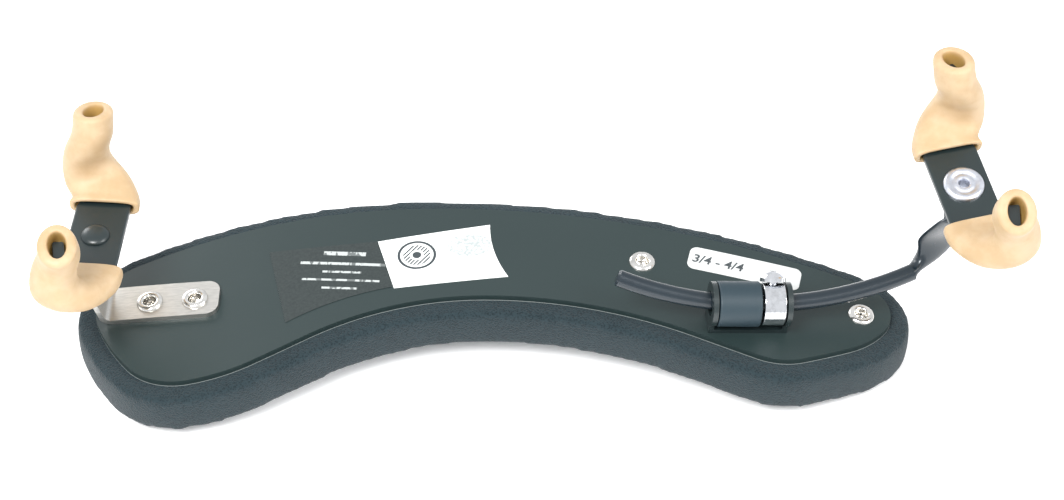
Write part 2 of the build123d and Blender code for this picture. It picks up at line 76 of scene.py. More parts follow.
# ---------------------------------------------------------------- shader maths
class Wire:
    """One output socket of a node tree; arithmetic on it adds Math nodes."""

    def __init__(self, graph: "Graph", socket: bpy.types.NodeSocket) -> None:
        """Holds the socket and the graph that it belongs to."""
        self.graph = graph
        self.socket = socket

    def math(self, operation: str, *values: "Wire | float") -> "Wire":
        """Adds a Math node.

        Args:
            operation: the Math node's operation.
            values: its inputs in order.

        Returns:
            The node's value.
        """
        node = self.graph.node("ShaderNodeMath", {"operation": operation}, dict(enumerate(values)))
        return Wire(self.graph, node.outputs[0])

    def __add__(self, other: "Wire | float") -> "Wire":
        """Sum."""
        return self.math("ADD", self, other)

    def __sub__(self, other: "Wire | float") -> "Wire":
        """Difference."""
        return self.math("SUBTRACT", self, other)

    def __rsub__(self, other: float) -> "Wire":
        """Difference from a number."""
        return self.math("SUBTRACT", other, self)

    def __mul__(self, other: "Wire | float") -> "Wire":
        """Product."""
        return self.math("MULTIPLY", self, other)

    __radd__ = __add__
    __rmul__ = __mul__

    def most(self, other: "Wire | float") -> "Wire":
        """The larger of two values."""
        return self.math("MAXIMUM", self, other)

    def size(self) -> "Wire":
        """Value without its sign."""
        return self.math("ABSOLUTE", self)

    def ramp(self, low: float, high: float, start: float = 0.0, end: float = 1.0) -> "Wire":
        """Smooth step from start at low to end at high.

        Args:
            low: the value where the step starts.
            high: the value where it ends.
            start: the result below low.
            end: the result above high.

        Returns:
            The stepped value.
        """
        node = self.graph.node(
            "ShaderNodeMapRange",
            {"interpolation_type": "SMOOTHSTEP"},
            {"Value": self, "From Min": low, "From Max": high, "To Min": start, "To Max": end},
        )
        return Wire(self.graph, node.outputs["Result"])


class Graph:
    """The node tree of one material, built up piece by piece."""

    def __init__(self, name: str) -> None:
        """Starts an empty tree with its shader and output."""
        self.material = bpy.data.materials.new(name)
        self.material.use_nodes = True
        self.tree = self.material.node_tree
        self.tree.nodes.clear()
        self.shader = self.node("ShaderNodeBsdfPrincipled")
        output = self.node("ShaderNodeOutputMaterial")
        self.tree.links.new(self.shader.outputs["BSDF"], output.inputs["Surface"])

    def node(self, kind: str, settings: dict | None = None, inputs: dict | None = None) -> bpy.types.Node:
        """Adds a node.

        Args:
            kind: the node's type.
            settings: attributes, set before the inputs.
            inputs: a value or a Wire for each socket, by name or number.

        Returns:
            The node.
        """
        made = self.tree.nodes.new(kind)
        for key, value in (settings or {}).items():
            setattr(made, key, value)
        for key, value in (inputs or {}).items():
            if isinstance(value, Wire):
                self.tree.links.new(value.socket, made.inputs[key])
            else:
                made.inputs[key].default_value = value
        return made

    def place(self, centre: Triple = (0, 0, 0), turn: Triple = (0, 0, 0), scale: Triple = (1, 1, 1)) -> Wire:
        """Object coordinates centred, turned and scaled.

        Args:
            centre: the point that becomes the origin, in metres.
            turn: the pattern's turn in degrees.
            scale: stretch of each axis after the turn.

        Returns:
            The coordinates.
        """
        source = self.node("ShaderNodeTexCoord")
        settings = {"vector_type": "TEXTURE"}
        values = {0: Wire(self, source.outputs["Object"]), "Location": centre}
        values["Rotation"] = tuple(radians(a) for a in turn)
        values["Scale"] = tuple(1 / s for s in scale)
        mapping = self.node("ShaderNodeMapping", settings, values)
        return Wire(self, mapping.outputs[0])

    def split(self, vector: Wire) -> tuple[Wire, Wire, Wire]:
        """The three parts of a vector."""
        parts = self.node("ShaderNodeSeparateXYZ", None, {0: vector})
        return tuple(Wire(self, parts.outputs[i]) for i in range(3))

    def noise(self, where: Wire, scale: float, detail: float = 3.0, rough: float = 0.5) -> Wire:
        """Soft noise between 0 and 1."""
        values = {"Vector": where, "Scale": scale, "Detail": detail, "Roughness": rough}
        return Wire(self, self.node("ShaderNodeTexNoise", None, values).outputs["Fac"])

    def cells(self, where: Wire, scale: float) -> Wire:
        """Distance to the nearest cell's middle."""
        node = self.node("ShaderNodeTexVoronoi", None, {"Vector": where, "Scale": scale})
        return Wire(self, node.outputs["Distance"])

    def attribute(self, name: str) -> Wire:
        """A number painted on the mesh's points."""
        return Wire(self, self.node("ShaderNodeAttribute", {"attribute_name": name}).outputs["Fac"])

    def blend(self, factor: Wire, low: "Colour | Wire", high: "Colour | Wire") -> Wire:
        """Colour that runs from low to high.

        Args:
            factor: 0 for low, 1 for high.
            low: a colour or a wire.
            high: a colour or a wire.

        Returns:
            The colour.
        """
        ends = [value if isinstance(value, Wire) else (*value, 1.0) for value in (low, high)]
        node = self.node("ShaderNodeMix", {"data_type": "RGBA"}, {0: factor, 6: ends[0], 7: ends[1]})
        return Wire(self, node.outputs[2])

    def relief(self, height: Wire, depth: float, strength: float = 1.0) -> Wire:
        """Bumped normal from a height of 0 to 1 and its depth in metres."""
        values = {"Strength": strength, "Distance": depth, "Height": height}
        return Wire(self, self.node("ShaderNodeBump", None, values).outputs["Normal"])

    def done(self, **sockets: "Wire | float | Colour") -> bpy.types.Material:
        """Sets the shader's sockets, named with _ for a space.

        Args:
            sockets: a value, a colour or a wire for each socket.

        Returns:
            The finished material.
        """
        for name, value in sockets.items():
            socket = self.shader.inputs[name.replace("_", " ")]
            if isinstance(value, Wire):
                self.tree.links.new(value.socket, socket)
            elif socket.type == "RGBA":
                socket.default_value = (*value, 1.0)
            else:
                socket.default_value = value
        return self.material


# ---------------------------------------------------------------- finishes
@dataclass(frozen=True)
class SatinCoat:
    """Satin coat on metal: fine mottle, faint haze and small scuffs."""

    name: str
    colour: Colour
    worn: Colour
    rough: float = 0.34
    metallic: float = 0.0
    grain: float = 900.0
    depth: float = 0.00002
    coat: float = 0.0

    def material(self) -> bpy.types.Material:
        """The coat's material."""
        g = Graph(self.name)
        fine = g.noise(g.place(), self.grain, 4.0, 0.6)
        cloud = g.noise(g.place(), 28.0, 3.0, 0.55)
        scuffs = g.noise(g.place(scale=(1, 9, 1)), 260.0, 5.0, 0.7).ramp(0.6, 0.78)
        colour = g.blend((cloud * 0.55 + scuffs * 0.45).ramp(0.25, 0.75), self.colour, self.worn)
        roughness = cloud * 0.1 + fine * 0.1 + (self.rough - 0.1)
        return g.done(Base_Color=colour, Roughness=roughness, Metallic=self.metallic,
                      Normal=g.relief(fine, self.depth, 0.5), Coat_Weight=self.coat, Coat_Roughness=0.2)


@dataclass(frozen=True)
class BrushedMetal:
    """Bare metal with fine lines along one direction."""

    name: str
    colour: Colour
    dark: Colour
    rough: float = 0.3
    turn: Triple = (0, 0, 0)
    lines: Triple = (30, 900, 900)
    depth: float = 0.00001

    def material(self) -> bpy.types.Material:
        """The metal's material."""
        g = Graph(self.name)
        lines = g.noise(g.place(turn=self.turn, scale=self.lines), 4.0, 3.0, 0.6)
        cloud = g.noise(g.place(), 120.0, 3.0, 0.6)
        colour = g.blend((lines * 0.7 + cloud * 0.3).ramp(0.3, 0.7), self.dark, self.colour)
        return g.done(Base_Color=colour, Metallic=1.0, Roughness=lines * 0.18 + (self.rough - 0.09),
                      Normal=g.relief(lines, self.depth, 0.6))


@dataclass(frozen=True)
class Plated:
    """Bright plating: nearly even, with tiny pits and smears."""

    name: str
    colour: Colour
    rough: float = 0.14

    def material(self) -> bpy.types.Material:
        """The plating's material."""
        g = Graph(self.name)
        smear = g.noise(g.place(), 500.0, 4.0, 0.6)
        pits = g.cells(g.place(), 2600.0).ramp(0.0, 0.25)
        shade = tuple(c * 0.82 for c in self.colour)
        return g.done(Base_Color=g.blend(smear.ramp(0.3, 0.6), shade, self.colour), Metallic=1.0,
                      Roughness=smear * 0.16 + (self.rough - 0.06),
                      Normal=g.relief(pits * 0.4 + smear * 0.6, 0.00001, 0.5))


@dataclass(frozen=True)
class Latex:
    """Natural rubber: warm and slightly clear, with painted shade that darkens the bore and the folds."""

    name: str = "natural_latex"
    skin: Colour = (0.44, 0.31, 0.175)
    pale: Colour = (0.50, 0.37, 0.23)
    # painted shade colour for the inside of the bore
    deep: Colour = (0.42, 0.26, 0.08)
    # painted shade colour for the creases
    fold: Colour = (0.26, 0.16, 0.07)

    def material(self) -> bpy.types.Material:
        """The rubber's material."""
        g = Graph(self.name)
        cloud = g.noise(g.place(), 160.0, 4.0, 0.6)
        dust = g.noise(g.place(), 1900.0, 3.0, 0.7)
        body = g.blend(cloud.ramp(0.32, 0.68), self.skin, self.pale)
        # painted shade: the bore is darkened towards the deep colour
        body = g.blend(g.attribute("bore").ramp(0.0, 1.0), body, self.deep)
        # painted shade: the creases of the pinched tube are darkened
        body = g.blend(g.attribute("fold").ramp(0.0, 1.0), body, self.fold)
        return g.done(Base_Color=body, Roughness=dust * 0.16 + 0.42,
                      Normal=g.relief(cloud * 0.5 + dust * 0.5, 0.00005, 0.35),
                      Subsurface_Weight=0.2, Subsurface_Scale=0.0015,
                      Subsurface_Radius=(1.0, 0.65, 0.35), Specular_IOR_Level=0.35)


@dataclass(frozen=True)
class FoamCells:
    """Dense dark foam: open cells of about half a millimetre, with paler rims and painted shade in their
    hollows.
    """

    name: str = "dark_foam"
    rim: Colour = (0.020, 0.034, 0.040)
    # painted shade: the dark inside of each pore
    hollow: Colour = (0.006, 0.012, 0.015)
    pitch: float = 2100.0

    def material(self) -> bpy.types.Material:
        """The foam's material."""
        g = Graph(self.name)
        cell = g.cells(g.place(), self.pitch)
        small = g.cells(g.place(), self.pitch * 2.3)
        cloud = g.noise(g.place(), 60.0, 3.0, 0.6)
        pore = cell.ramp(0.05, 0.7) * 0.6 + small.ramp(0.0, 0.8) * 0.4
        # the pores darken to painted shade in their hollows; the cloud adds random tone
        colour = g.blend((pore * 0.75 + cloud * 0.35).ramp(0.25, 0.95), self.hollow, self.rim)
        return g.done(Base_Color=colour, Roughness=0.92, Specular_IOR_Level=0.2,
                      Normal=g.relief(pore, 0.00022, 0.8), Sheen_Weight=0.12, Sheen_Roughness=0.5)


@dataclass(frozen=True)
class Paper:
    """Plain label stock with a faint tooth."""

    name: str
    colour: Colour
    rough: float = 0.42

    def material(self) -> bpy.types.Material:
        """The stock's material."""
        g = Graph(self.name)
        tooth = g.noise(g.place(), 1400.0, 4.0, 0.6)
        cloud = g.noise(g.place(), 90.0, 2.0, 0.5)
        shade = tuple(c * 0.9 for c in self.colour)
        return g.done(Base_Color=g.blend((tooth * 0.4 + cloud * 0.6).ramp(0.3, 0.7), shade, self.colour),
                      Roughness=tooth * 0.12 + (self.rough - 0.06), Normal=g.relief(tooth, 0.00001, 0.4))


@dataclass(frozen=True)
class PrintedFoil:
    """Dark foil label with a few plain pale bars where a maker's lines would stand."""

    name: str = "printed_foil"
    centre: Triple = (-48.9, 5.2, 19.0)
    turn: float = -4.0
    ground: Colour = (0.026, 0.034, 0.034)
    glint: Colour = (0.036, 0.046, 0.045)
    ink: Colour = (0.50, 0.53, 0.52)
    bars: tuple[tuple[float, float, float, float], ...] = (
        (3.2, 6.7, 5.0, 1.15), (3.2, 3.4, 10.2, 0.75), (3.2, 0.7, 4.6, 0.55),
        (3.2, -1.9, 9.2, 0.55), (3.2, -4.5, 4.2, 0.55),
    )

    def material(self) -> bpy.types.Material:
        """The foil's material."""
        g = Graph(self.name)
        where = g.place(tuple(c * MM for c in self.centre), (0, 0, self.turn))
        x, y, _ = g.split(where)
        lean = x * 0.02
        mask: Wire | float = 0.0
        for middle, height, half, thick in self.bars:
            across = (x - middle * MM).size().ramp(half * MM, half * MM + 0.00012, 1.0, 0.0)
            up = (y + lean - height * MM).size().ramp(thick * MM * 0.5, thick * MM * 0.5 + 0.0001, 1.0, 0.0)
            bar = across * up
            mask = bar if isinstance(mask, float) else mask.most(bar)
        weave = g.noise(g.place(), 1600.0, 3.0, 0.6)
        gaps = g.noise(g.place(scale=(1.0, 0.4, 1.0)), 1050.0, 1.0, 0.5).ramp(0.42, 0.5)
        ground = g.blend(weave.ramp(0.3, 0.7), self.ground, self.glint)
        return g.done(Base_Color=g.blend(mask * (gaps * 0.75 + 0.25), ground, self.ink), Metallic=0.25,
                      Roughness=weave * 0.1 + 0.3, Normal=g.relief(weave, 0.00001, 0.4))


@dataclass(frozen=True)
class PrintedPaper:
    """White label with a plain ring-and-rays device and a grey patch."""

    name: str = "printed_paper"
    centre: Triple = (-21.9, 12.2, 19.1)
    turn: float = 8.0
    paper: Colour = (0.78, 0.80, 0.78)
    ink: Colour = (0.035, 0.045, 0.05)
    wash: Colour = (0.36, 0.39, 0.39)
    ring: tuple[float, float] = (4.3, 0.55)
    ring_at: tuple[float, float] = (-6.3, -0.8)
    dot: float = 1.0
    ray_reach: tuple[float, float] = (1.6, 3.2)
    ray_pitch: float = 1.1
    soft: float = 0.15
    patch_at: tuple[float, float] = (6.4, 0.4)
    patch_half: tuple[float, float] = (5.4, 3.9)

    def _round(self, g: Graph, where: Wire, at: tuple[float, float], scale: tuple[float, float]) -> Wire:
        """Distance from a point with each axis scaled, in millimetres."""
        x, y, _ = g.split(where)
        across = (x - at[0] * MM) * (PER_METRE * scale[0])
        up = (y - at[1] * MM) * (PER_METRE * scale[1])
        squared = across * across + up * up
        return squared.math("SQRT", squared)

    def material(self) -> bpy.types.Material:
        """The printed paper's material."""
        g = Graph(self.name)
        where = g.place(tuple(c * MM for c in self.centre), (0, 0, self.turn))
        reach = self._round(g, where, self.ring_at, (1.0, 1.0))
        ring = (reach - self.ring[0]).size().ramp(self.ring[1] * 0.5, self.ring[1] * 0.5 + 0.12, 1.0, 0.0)
        dot = reach.ramp(self.dot, self.dot + self.soft, 1.0, 0.0)
        x, y, _ = g.split(where)
        slant = (x - y) * PER_METRE
        stripe = slant.math("WRAP", slant, self.ray_pitch, 0.0).ramp(0.5, 0.6)
        inner, outer = self.ray_reach
        rays = stripe * reach.ramp(outer, outer + self.soft, 1.0, 0.0) * reach.ramp(inner, inner + self.soft)
        ink = ring.most(dot).most(rays)
        wobble = g.noise(where, 330.0, 3.0, 0.6) * 0.5
        half = self.patch_half
        blot = self._round(g, where, self.patch_at, (1 / half[0], 1 / half[1])) + wobble
        patch = blot.ramp(1.2, 1.26, 1.0, 0.0)
        grain = g.noise(where, 1500.0, 2.0, 0.5).ramp(0.4, 0.6, 0.55, 1.0)
        tooth = g.noise(g.place(), 1400.0, 4.0, 0.6)
        colour = g.blend(patch * grain, self.paper, self.wash)
        return g.done(Base_Color=g.blend(ink, colour, self.ink), Roughness=tooth * 0.12 + 0.34,
                      Normal=g.relief(tooth, 0.00001, 0.4))


class Look(Enum):
    """Every finish on the object."""

    PLATE = SatinCoat("satin_plate_coat", (0.014, 0.026, 0.026), (0.020, 0.034, 0.034), 0.42, 0.0, 1400.0)
    BLACK = SatinCoat("black_steel_coat", (0.010, 0.018, 0.019), (0.016, 0.027, 0.028),
                      0.36, 0.0, 1800.0, 0.00001, 0.3)
    ROD = SatinCoat("rod_black", (0.008, 0.016, 0.023), (0.014, 0.027, 0.038),
                    0.30, 0.2, 1500.0, 0.00001, 0.4)
    BARREL = SatinCoat("matt_barrel", (0.014, 0.030, 0.040), (0.022, 0.042, 0.054), 0.5, 0.0, 1200.0)
    STEEL = BrushedMetal("brushed_stainless", (0.66, 0.64, 0.60), (0.50, 0.49, 0.46), 0.36)
    NICKEL = Plated("nickel_plate", (0.86, 0.84, 0.80), 0.16)
    CHROME = Plated("polished_chrome", (0.82, 0.83, 0.85), 0.08)
    ZINC = Plated("bright_zinc", (0.78, 0.80, 0.86), 0.3)
    LATEX = Latex()
    FOAM = FoamCells()
    TAPE = Paper("mounting_tape_paper", (0.30, 0.33, 0.32))
    LABEL = Paper("label_paper", (0.62, 0.63, 0.62))
    FOIL = PrintedFoil()
    PICTURE = PrintedPaper()
    INK = Paper("label_ink", (0.05, 0.06, 0.065), 0.5)

    def material(self) -> bpy.types.Material:
        """This finish's material, made once."""
        return bpy.data.materials.get(self.value.name) or self.value.material()


# ---------------------------------------------------------------- shared mesh steps
def finished(bm: bmesh.types.BMesh, name: str, look: Look, sharp: float = 35.0,
             flip: bool = True) -> bpy.types.Object:
    """Turns a bmesh into a smooth-shaded object at the origin.

    Args:
        bm: the shape, in metres in the shared frame; it is freed.
        name: the object's name.
        look: its finish.
        sharp: edges turned by more degrees than this stay sharp.
        flip: whether normals are worked out again.

    Returns:
        The object.
    """
    if flip:
        bmesh.ops.recalc_face_normals(bm, faces=bm.faces)
    for face in bm.faces:
        face.smooth = True
    for edge in bm.edges:
        edge.smooth = len(edge.link_faces) != 2 or edge.calc_face_angle(0.0) < radians(sharp)
    mesh = bpy.data.meshes.new(name)
    bm.to_mesh(mesh)
    bm.free()
    obj = bpy.data.objects.new(name, mesh)
    bpy.context.scene.collection.objects.link(obj)
    obj.data.materials.append(look.material())
    return obj


def mount(obj: bpy.types.Object, body: str, slot: str, *nodes: str) -> bpy.types.Object:
    """Puts a piece on its body in place of CAD nodes and logs it.

    Args:
        obj: the piece.
        body: the body that it moves with.
        slot: the record's material slot; not used.
        nodes: the CAD nodes that it stands for.

    Returns:
        The piece.
    """
    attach(obj, body)
    if nodes:
        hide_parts(*nodes)
    log.info("%s rides %s, %d faces", obj.name, body, len(obj.data.polygons))
    return obj


def subdivide(obj: bpy.types.Object, levels: int) -> None:
    """Adds a Subdivision Surface modifier with equal view and render levels."""
    modifier = obj.modifiers.new("subdivision", "SUBSURF")
    modifier.levels = modifier.render_levels = levels


def settle(obj: bpy.types.Object) -> None:
    """Applies every modifier of an object to its mesh."""
    graph = bpy.context.evaluated_depsgraph_get()
    mesh = bpy.data.meshes.new_from_object(obj.evaluated_get(graph))
    obj.modifiers.clear()
    obj.data = mesh


def lathe(profile: Sequence[tuple[float, float]], steps: int = 64) -> bmesh.types.BMesh:
    """Turned shape about Z.

    Args:
        profile: points as radius and height in millimetres, joined in order.
        steps: faces round the axis.

    Returns:
        The spun shape with its doubles merged.
    """
    bm = bmesh.new()
    points = [bm.verts.new((radius * MM, 0, height * MM)) for radius, height in profile]
    edges = [bm.edges.new(pair) for pair in zip(points, points[1:])]
    bmesh.ops.spin(bm, geom=points + edges, cent=(0, 0, 0), axis=(0, 0, 1), angle=2 * pi,
                   steps=steps, use_merge=True)
    bmesh.ops.remove_doubles(bm, verts=bm.verts, dist=0.000001)
    return bm


@dataclass(frozen=True)
class Arch:
    """The plate's arch, and planes square to its top face."""

    radius: float = 700.0
    middle_x: float = -9.7865
    half_span: float = 98.4375
    stack: float = 12.1

    @property
    def low(self) -> float:
        """Height of the arch's centre."""
        return -sqrt((self.radius - self.stack) ** 2 - self.half_span ** 2)

    def at(self, x: float, y: float, lift: float = 0.0, yaw: float = 0.0) -> Matrix:
        """Frame square to the top face.

        Args:
            x: place along the object, in millimetres.
            y: place across the object.
            lift: height above the face.
            yaw: turn about the face's normal, in degrees.

        Returns:
            The frame as a matrix in metres.
        """
        slope = asin((x - self.middle_x) / self.radius)
        reach = self.radius + lift
        origin = Vector((self.middle_x + reach * sin(slope), y, self.low + reach * cos(slope)))
        turn = Matrix.Rotation(slope, 4, "Y") @ Matrix.Rotation(radians(yaw), 4, "Z")
        return Matrix.Translation(origin * MM) @ turn


ARCH = Arch()


@dataclass(frozen=True)
class ForkSeat:
    """Where a fork sits, and how it is turned."""

    side: str
    body: str
    pivot: Triple
    tilt: float
    yaw: float
    mirrored: bool

    @property
    def frame(self) -> Matrix:
        """The fork's frame as a matrix in metres."""
        place = Matrix.Translation(Vector(self.pivot) * MM) @ Matrix.Rotation(radians(self.tilt), 4, "X")
        place = place @ Matrix.Rotation(radians(self.yaw), 4, "Z")
        return place @ Matrix.Scale(-1, 4, (1, 0, 0)) if self.mirrored else place


LEFT = ForkSeat("left", "left_fork", (-100.9, -1.42, 36.2), 0.0, -4.0, True)
RIGHT = ForkSeat("right", "right_fork", (97.9, 4.28, 47.2), 10.0, 13.5, False)


# ---------------------------------------------------------------- foam pad
@dataclass
class FoamPad:
    """The die-cut foam under the plate, softly rounded, its sides a little swollen."""

    voxel: float = 0.85
    rounds: int = 5
    swell: float = 0.35
    ripple: float = 0.01
    mid_depth: float = 6.9
    half_depth: float = 5.2
    wave_along: float = 190.0
    wave_across: float = 170.0
    wave_shift: float = 1.3

    def build(self) -> bpy.types.Object:
        """Makes the pad.

        Returns:
            The pad, riding on the plate.
        """
        pad = self._block()
        self._relax(pad)
        subdivide(pad, 1)
        mount(pad, "plate", "foam", "foam_pad")
        return pad

    def _block(self) -> bpy.types.Object:
        """Even-meshed copy of the pad's solid with softened edges."""
        bm = bmesh.new()
        bm.from_mesh(bpy.data.objects["foam_pad"].data)
        bmesh.ops.remove_doubles(bm, verts=bm.verts, dist=0.00001)
        pad = finished(bm, "foam_cushion", Look.FOAM, 180.0, False)
        remesh = pad.modifiers.new("even", "REMESH")
        remesh.mode = "VOXEL"
        remesh.voxel_size = self.voxel * MM
        remesh.use_smooth_shade = True
        soften = pad.modifiers.new("soften", "SMOOTH")
        soften.factor = 0.5
        soften.iterations = self.rounds
        settle(pad)
        return pad

    def _relax(self, pad: bpy.types.Object) -> None:
        """Swells the sides a little and ripples the cut faces."""
        bm = bmesh.new()
        bm.from_mesh(pad.data)
        bm.normal_update()
        for vert in bm.verts:
            slope = asin((vert.co.x / MM - ARCH.middle_x) / ARCH.radius)
            depth = ARCH.radius - (vert.co.z / MM - ARCH.low) / cos(slope)
            middle = 1 - min(1.0, abs(depth - self.mid_depth) / self.half_depth) ** 2
            side = 1 - abs(vert.normal.z)
            wave = sin(vert.co.x * self.wave_along) * sin(vert.co.y * self.wave_across + self.wave_shift)
            wave *= self.ripple
            vert.co += vert.normal * (self.swell * middle * side + wave * side) * MM
        bm.to_mesh(pad.data)
        bm.free()


# ---------------------------------------------------------------- rubber tubes
class Reach(Enum):
    """Which arm of a fork a tube is on: the sign along the fork."""

    FAR = 1
    NEAR = -1


@dataclass(frozen=True)
class Station:
    """One section of a tube, in the fork's frame."""

    out: float
    along: float
    up: float
    climb: float
    heading: float
    width: float
    depth: float
    square: float = 2.0
    pinch: float = 0.0

    def mixed(self, other: "Station", share: float) -> "Station":
        """Section part of the way to another one."""
        names = ("out", "along", "up", "climb", "heading", "width", "depth", "square", "pinch")
        return Station(*(getattr(self, n) * (1 - share) + getattr(other, n) * share for n in names))

    def sized(self, width: float, depth: float, back: float = 0.0, square: float = 2.0) -> "Station":
        """Same place, another size, moved back along the tube."""
        pitch, turn = radians(self.climb), radians(self.heading)
        step = Vector((cos(pitch) * sin(turn), cos(pitch) * cos(turn), sin(pitch))) * back
        return Station(self.out - step.x, self.along - step.y, self.up - step.z, self.climb,
                       self.heading, width, depth, square)

    def frame(self) -> Matrix:
        """The section's frame: X across, Y under, Z along the tube."""
        pitch, turn = radians(self.climb), radians(self.heading)
        forward = Vector((cos(pitch) * sin(turn), cos(pitch) * cos(turn), sin(pitch)))
        across = Vector((cos(turn), -sin(turn), 0))
        under = forward.cross(across)
        turned = Matrix((across, under, forward)).transposed().to_4x4()
        return Matrix.Translation((self.out, self.along, self.up + HALF_STRIP)) @ turned


@dataclass
class RubberTube:
    """A latex tube drawn over one arm: flat at its mouth, upright and oval at its tip."""

    seat: ForkSeat
    reach: Reach
    points: int = 28
    hole: tuple[float, float] = (3.9, 6.4)
    steps: int = 4
    path: tuple[Station, ...] = (
        Station(0.0, 10.2, 0.0, 0.0, 0.0, 16.6, 5.0, 3.6),
        Station(0.2, 13.6, -0.2, 20.0, 4.0, 15.8, 6.6, 3.0),
        Station(2.8, 17.8, 1.2, 42.0, 16.0, 15.0, 8.6, 2.5, 0.2),
        Station(5.0, 19.8, 4.8, 60.0, 26.0, 12.2, 10.8, 2.2, 0.3),
        Station(4.6, 19.6, 9.8, 70.0, 8.0, 10.6, 11.0, 2.0),
        Station(2.8, 19.8, 14.6, 74.0, -10.0, 9.6, 10.4, 2.0),
        Station(2.3, 21.4, 19.2, 74.0, -14.0, 9.0, 11.0, 2.0),
    )

    def _spread(self) -> list[Station]:
        """The path with smooth sections between its stations."""
        before = self.path[0].mixed(self.path[1], -1.0)
        after = self.path[-1].mixed(self.path[-2], -1.0)
        chain = [before, *self.path, after]
        smooth = []
        for i in range(1, len(chain) - 2):
            for j in range(self.steps):
                t = j / self.steps
                weights = (-t + 2 * t * t - t ** 3, 2 - 5 * t * t + 3 * t ** 3,
                           t + 4 * t * t - 3 * t ** 3, t ** 3 - t * t)
                values = [0.5 * sum(w * getattr(s, n) for w, s in zip(weights, chain[i - 1:i + 3]))
                          for n in Station.__dataclass_fields__]
                smooth.append(Station(*values))
        return smooth + [self.path[-1]]

    def _sections(self) -> list[tuple[Station, float]]:
        """Every section from the inner mouth, over the outside, into the bore, with the amount of painted
        shade it takes in the bore.
        """
        mouth, tip = self.path[0], self.path[-1]
        wide, deep = self.hole
        inner = [(mouth.sized(13.4, 2.5, -3.0, 4.0), 1.0), (mouth.sized(13.6, 2.7, -0.4, 4.0), 0.7),
                 (mouth.sized(14.0, 3.1, 0.15, 4.0), 0.3), (mouth.sized(15.2, 4.3, 0.2, 3.8), 0.0)]
        outer = [(station, 0.0) for station in self._spread()]
        lip = [(tip.sized(tip.width - 0.5, tip.depth - 0.5, -0.45), 0.0),
               (tip.sized(tip.width - 1.6, tip.depth - 1.6, -0.85), 0.0),
               (tip.sized(wide + 0.9, deep + 0.9, -0.9), 0.05),
               (tip.sized(wide + 0.2, deep + 0.2, -0.55), 0.45),
               (tip.sized(wide, deep, 0.6), 0.9), (tip.sized(wide, deep, 2.2), 1.0),
               (tip.sized(wide + 0.2, deep - 0.2, 4.6), 1.0)]
        return inner + outer + lip

    def build(self) -> bpy.types.Object:
        """Makes the tube.

        Returns:
            The tube, riding on its fork.
        """
        bm = bmesh.new()
        bore = bm.verts.layers.float.new("bore")
        fold = bm.verts.layers.float.new("fold")
        ring = bmesh.ops.create_circle(bm, segments=self.points, radius=1.0, cap_ends=True)["verts"]
        for i, (station, shade) in enumerate(self._sections()):
            if i:
                start = {v: k for k, v in enumerate(ring)}
                edges = [e for e in bm.edges if e.verts[0] in start and e.verts[1] in start]
                made = bmesh.ops.extrude_edge_only(bm, edges=edges)["geom"]
                fresh = [v for v in made if isinstance(v, bmesh.types.BMVert)]
                ring = self._in_order(ring, fresh)
            self._shape(ring, station, shade, bore, fold)
        bmesh.ops.contextual_create(bm, geom=[e for e in bm.edges if e.is_boundary])
        if self.reach is Reach.NEAR:
            bmesh.ops.scale(bm, vec=(1, -1, 1), verts=bm.verts)
        bmesh.ops.scale(bm, vec=(MM, MM, MM), verts=bm.verts)
        bmesh.ops.transform(bm, matrix=self.seat.frame, verts=bm.verts)
        reach = self.reach.name.lower()
        obj = finished(bm, f"rubber_{self.seat.side}_{reach}", Look.LATEX, 80.0)
        subdivide(obj, 2)
        return mount(obj, self.seat.body, "latex", f"{self.seat.side}_{reach}_tube")

    @staticmethod
    def _in_order(old: list[bmesh.types.BMVert], fresh: list[bmesh.types.BMVert]) -> list[bmesh.types.BMVert]:
        """Extruded points in the order of the ring that they came from."""
        made = set(fresh)
        return [next(e.other_vert(v) for e in v.link_edges if e.other_vert(v) in made) for v in old]

    def _shape(self, ring: list[bmesh.types.BMVert], station: Station, shade: float,
               bore: bmesh.types.BMLayerItem, fold: bmesh.types.BMLayerItem) -> None:
        """Puts a ring's points on a section.

        Args:
            ring: the points in order.
            station: the section.
            shade: how deep in the bore the section is, 0 to 1.
            bore: the layer that takes the painted shade.
            fold: the layer that takes the painted shade of the crease.
        """
        frame = station.frame()
        power = 2 / max(station.square, 2.0)
        for k, vert in enumerate(ring):
            angle = 2 * pi * k / len(ring)
            c, s = cos(angle), sin(angle)
            x = abs(c) ** power * (1 if c > 0 else -1) * station.width / 2
            y = abs(s) ** power * (1 if s > 0 else -1) * station.depth / 2
            dent = max(0.0, -s) ** 2 * station.pinch
            vert.co = frame @ Vector((x, y + dent * 1.6, 0))
            vert[bore] = shade
            # the dent also sets how much painted crease shade the point takes
            vert[fold] = min(1.0, dent)


